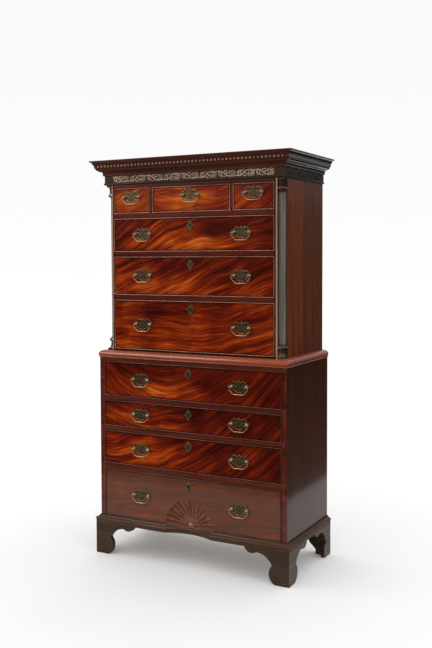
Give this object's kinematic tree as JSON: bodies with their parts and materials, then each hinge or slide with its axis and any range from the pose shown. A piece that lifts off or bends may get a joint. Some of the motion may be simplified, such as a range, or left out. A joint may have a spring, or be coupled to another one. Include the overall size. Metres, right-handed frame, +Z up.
{
  "type": "chest on chest",
  "caption": "Mahogany chest on chest: upper case with carved frieze, cornice and fluted quarter columns on a lower case with a carved fan drawer and bracket feet.",
  "frame": {"origin": "under the middle of the outer box, on the floor that the feet stand on", "axes": "+Z up, +X to the right as seen from the front, drawers face -Y"},
  "size_m": [1.04, 0.514, 1.88],
  "materials": {
    "drawer_wood": "polished flame-figured mahogany veneer",
    "rail_wood": "polished mahogany edge, plain wood inside",
    "case_wood": "polished straight-grained mahogany",
    "moulding_wood": "polished dark mahogany moulding",
    "carved_wood": "low carved mahogany, greyed in the hollows",
    "column_wood": "fluted column, dry greyed polish",
    "foot_wood": "dark worn mahogany",
    "lining_wood": "bare oak drawer lining",
    "backboard_wood": "bare aged pine",
    "brass": "old gilt brass, worn bright on the high points"
  },
  "bodies": {
    "case": {"lower_rails": "rail_wood", "upper_rails": "rail_wood", "lower_carcase": "case_wood", "upper_carcase": "case_wood", "lower_backboards": "backboard_wood", "upper_backboards": "backboard_wood", "base_moulding": "moulding_wood", "waist_moulding": "moulding_wood", "frieze": "carved_wood", "cornice": "moulding_wood", "dentil_course": "moulding_wood", "quarter_columns": "column_wood", "bracket_feet": "foot_wood"},
    "lower_drawer_1": {"lower_drawer_1_front": "drawer_wood", "lower_drawer_1_box": "lining_wood", "lower_drawer_1_brasses": "brass"},
    "lower_drawer_1_bail_left": {"lower_drawer_1_bail_left": "brass"},
    "lower_drawer_1_bail_right": {"lower_drawer_1_bail_right": "brass"},
    "lower_drawer_2": {"lower_drawer_2_front": "drawer_wood", "lower_drawer_2_box": "lining_wood", "lower_drawer_2_brasses": "brass"},
    "lower_drawer_2_bail_left": {"lower_drawer_2_bail_left": "brass"},
    "lower_drawer_2_bail_right": {"lower_drawer_2_bail_right": "brass"},
    "lower_drawer_3": {"lower_drawer_3_front": "drawer_wood", "lower_drawer_3_box": "lining_wood", "lower_drawer_3_brasses": "brass"},
    "lower_drawer_3_bail_left": {"lower_drawer_3_bail_left": "brass"},
    "lower_drawer_3_bail_right": {"lower_drawer_3_bail_right": "brass"},
    "lower_drawer_4": {"lower_drawer_4_front": "drawer_wood", "lower_drawer_4_box": "lining_wood", "lower_drawer_4_brasses": "brass"},
    "lower_drawer_4_bail_left": {"lower_drawer_4_bail_left": "brass"},
    "lower_drawer_4_bail_right": {"lower_drawer_4_bail_right": "brass"},
    "upper_drawer_1": {"upper_drawer_1_front": "drawer_wood", "upper_drawer_1_box": "lining_wood", "upper_drawer_1_brasses": "brass"},
    "upper_drawer_1_bail_left": {"upper_drawer_1_bail_left": "brass"},
    "upper_drawer_1_bail_right": {"upper_drawer_1_bail_right": "brass"},
    "upper_drawer_2": {"upper_drawer_2_front": "drawer_wood", "upper_drawer_2_box": "lining_wood", "upper_drawer_2_brasses": "brass"},
    "upper_drawer_2_bail_left": {"upper_drawer_2_bail_left": "brass"},
    "upper_drawer_2_bail_right": {"upper_drawer_2_bail_right": "brass"},
    "upper_drawer_3": {"upper_drawer_3_front": "drawer_wood", "upper_drawer_3_box": "lining_wood", "upper_drawer_3_brasses": "brass"},
    "upper_drawer_3_bail_left": {"upper_drawer_3_bail_left": "brass"},
    "upper_drawer_3_bail_right": {"upper_drawer_3_bail_right": "brass"},
    "short_drawer_left": {"short_drawer_left_front": "drawer_wood", "short_drawer_left_box": "lining_wood", "short_drawer_left_brasses": "brass"},
    "short_drawer_left_bail": {"short_drawer_left_bail": "brass"},
    "short_drawer_middle": {"short_drawer_middle_front": "drawer_wood", "short_drawer_middle_box": "lining_wood", "short_drawer_middle_brasses": "brass"},
    "short_drawer_middle_bail": {"short_drawer_middle_bail": "brass"},
    "short_drawer_right": {"short_drawer_right_front": "drawer_wood", "short_drawer_right_box": "lining_wood", "short_drawer_right_brasses": "brass"},
    "short_drawer_right_bail": {"short_drawer_right_bail": "brass"}
  },
  "joints": [
    {"name": "lower_drawer_1_slide", "type": "slide", "parent": "case", "child": "lower_drawer_1", "axis": [0, -1, 0], "range_m": [0, 0.36]},
    {"name": "lower_drawer_1_bail_left_swing", "type": "hinge", "parent": "lower_drawer_1", "child": "lower_drawer_1_bail_left", "pos_m": [-0.258, -0.235, 0.85175], "axis": [-1, 0, 0], "range_deg": [-6, 150]},
    {"name": "lower_drawer_1_bail_right_swing", "type": "hinge", "parent": "lower_drawer_1", "child": "lower_drawer_1_bail_right", "pos_m": [0.258, -0.235, 0.85175], "axis": [-1, 0, 0], "range_deg": [-6, 150]},
    {"name": "lower_drawer_2_slide", "type": "slide", "parent": "case", "child": "lower_drawer_2", "axis": [0, -1, 0], "range_m": [0, 0.36]},
    {"name": "lower_drawer_2_bail_left_swing", "type": "hinge", "parent": "lower_drawer_2", "child": "lower_drawer_2_bail_left", "pos_m": [-0.258, -0.235, 0.68625], "axis": [-1, 0, 0], "range_deg": [-6, 150]},
    {"name": "lower_drawer_2_bail_right_swing", "type": "hinge", "parent": "lower_drawer_2", "child": "lower_drawer_2_bail_right", "pos_m": [0.258, -0.235, 0.68625], "axis": [-1, 0, 0], "range_deg": [-6, 150]},
    {"name": "lower_drawer_3_slide", "type": "slide", "parent": "case", "child": "lower_drawer_3", "axis": [0, -1, 0], "range_m": [0, 0.36]},
    {"name": "lower_drawer_3_bail_left_swing", "type": "hinge", "parent": "lower_drawer_3", "child": "lower_drawer_3_bail_left", "pos_m": [-0.258, -0.235, 0.523], "axis": [-1, 0, 0], "range_deg": [-6, 150]},
    {"name": "lower_drawer_3_bail_right_swing", "type": "hinge", "parent": "lower_drawer_3", "child": "lower_drawer_3_bail_right", "pos_m": [0.258, -0.235, 0.523], "axis": [-1, 0, 0], "range_deg": [-6, 150]},
    {"name": "lower_drawer_4_slide", "type": "slide", "parent": "case", "child": "lower_drawer_4", "axis": [0, -1, 0], "range_m": [0, 0.36]},
    {"name": "lower_drawer_4_bail_left_swing", "type": "hinge", "parent": "lower_drawer_4", "child": "lower_drawer_4_bail_left", "pos_m": [-0.258, -0.235, 0.303], "axis": [-1, 0, 0], "range_deg": [-6, 150]},
    {"name": "lower_drawer_4_bail_right_swing", "type": "hinge", "parent": "lower_drawer_4", "child": "lower_drawer_4_bail_right", "pos_m": [0.258, -0.235, 0.303], "axis": [-1, 0, 0], "range_deg": [-6, 150]},
    {"name": "upper_drawer_1_slide", "type": "slide", "parent": "case", "child": "upper_drawer_1", "axis": [0, -1, 0], "range_m": [0, 0.34]},
    {"name": "upper_drawer_1_bail_left_swing", "type": "hinge", "parent": "upper_drawer_1", "child": "upper_drawer_1_bail_left", "pos_m": [-0.258, -0.209, 1.5325], "axis": [-1, 0, 0], "range_deg": [-6, 150]},
    {"name": "upper_drawer_1_bail_right_swing", "type": "hinge", "parent": "upper_drawer_1", "child": "upper_drawer_1_bail_right", "pos_m": [0.258, -0.209, 1.5325], "axis": [-1, 0, 0], "range_deg": [-6, 150]},
    {"name": "upper_drawer_2_slide", "type": "slide", "parent": "case", "child": "upper_drawer_2", "axis": [0, -1, 0], "range_m": [0, 0.34]},
    {"name": "upper_drawer_2_bail_left_swing", "type": "hinge", "parent": "upper_drawer_2", "child": "upper_drawer_2_bail_left", "pos_m": [-0.258, -0.209, 1.34125], "axis": [-1, 0, 0], "range_deg": [-6, 150]},
    {"name": "upper_drawer_2_bail_right_swing", "type": "hinge", "parent": "upper_drawer_2", "child": "upper_drawer_2_bail_right", "pos_m": [0.258, -0.209, 1.34125], "axis": [-1, 0, 0], "range_deg": [-6, 150]},
    {"name": "upper_drawer_3_slide", "type": "slide", "parent": "case", "child": "upper_drawer_3", "axis": [0, -1, 0], "range_m": [0, 0.34]},
    {"name": "upper_drawer_3_bail_left_swing", "type": "hinge", "parent": "upper_drawer_3", "child": "upper_drawer_3_bail_left", "pos_m": [-0.258, -0.209, 1.11075], "axis": [-1, 0, 0], "range_deg": [-6, 150]},
    {"name": "upper_drawer_3_bail_right_swing", "type": "hinge", "parent": "upper_drawer_3", "child": "upper_drawer_3_bail_right", "pos_m": [0.258, -0.209, 1.11075], "axis": [-1, 0, 0], "range_deg": [-6, 150]},
    {"name": "short_drawer_left_slide", "type": "slide", "parent": "case", "child": "short_drawer_left", "axis": [0, -1, 0], "range_m": [0, 0.34]},
    {"name": "short_drawer_left_bail_swing", "type": "hinge", "parent": "short_drawer_left", "child": "short_drawer_left_bail", "pos_m": [-0.3175, -0.209, 1.707], "axis": [-1, 0, 0], "range_deg": [-6, 150]},
    {"name": "short_drawer_middle_slide", "type": "slide", "parent": "case", "child": "short_drawer_middle", "axis": [0, -1, 0], "range_m": [0, 0.34]},
    {"name": "short_drawer_middle_bail_swing", "type": "hinge", "parent": "short_drawer_middle", "child": "short_drawer_middle_bail", "pos_m": [0, -0.209, 1.707], "axis": [-1, 0, 0], "range_deg": [-6, 150]},
    {"name": "short_drawer_right_slide", "type": "slide", "parent": "case", "child": "short_drawer_right", "axis": [0, -1, 0], "range_m": [0, 0.34]},
    {"name": "short_drawer_right_bail_swing", "type": "hinge", "parent": "short_drawer_right", "child": "short_drawer_right_bail", "pos_m": [0.3175, -0.209, 1.707], "axis": [-1, 0, 0], "range_deg": [-6, 150]}
  ]
}
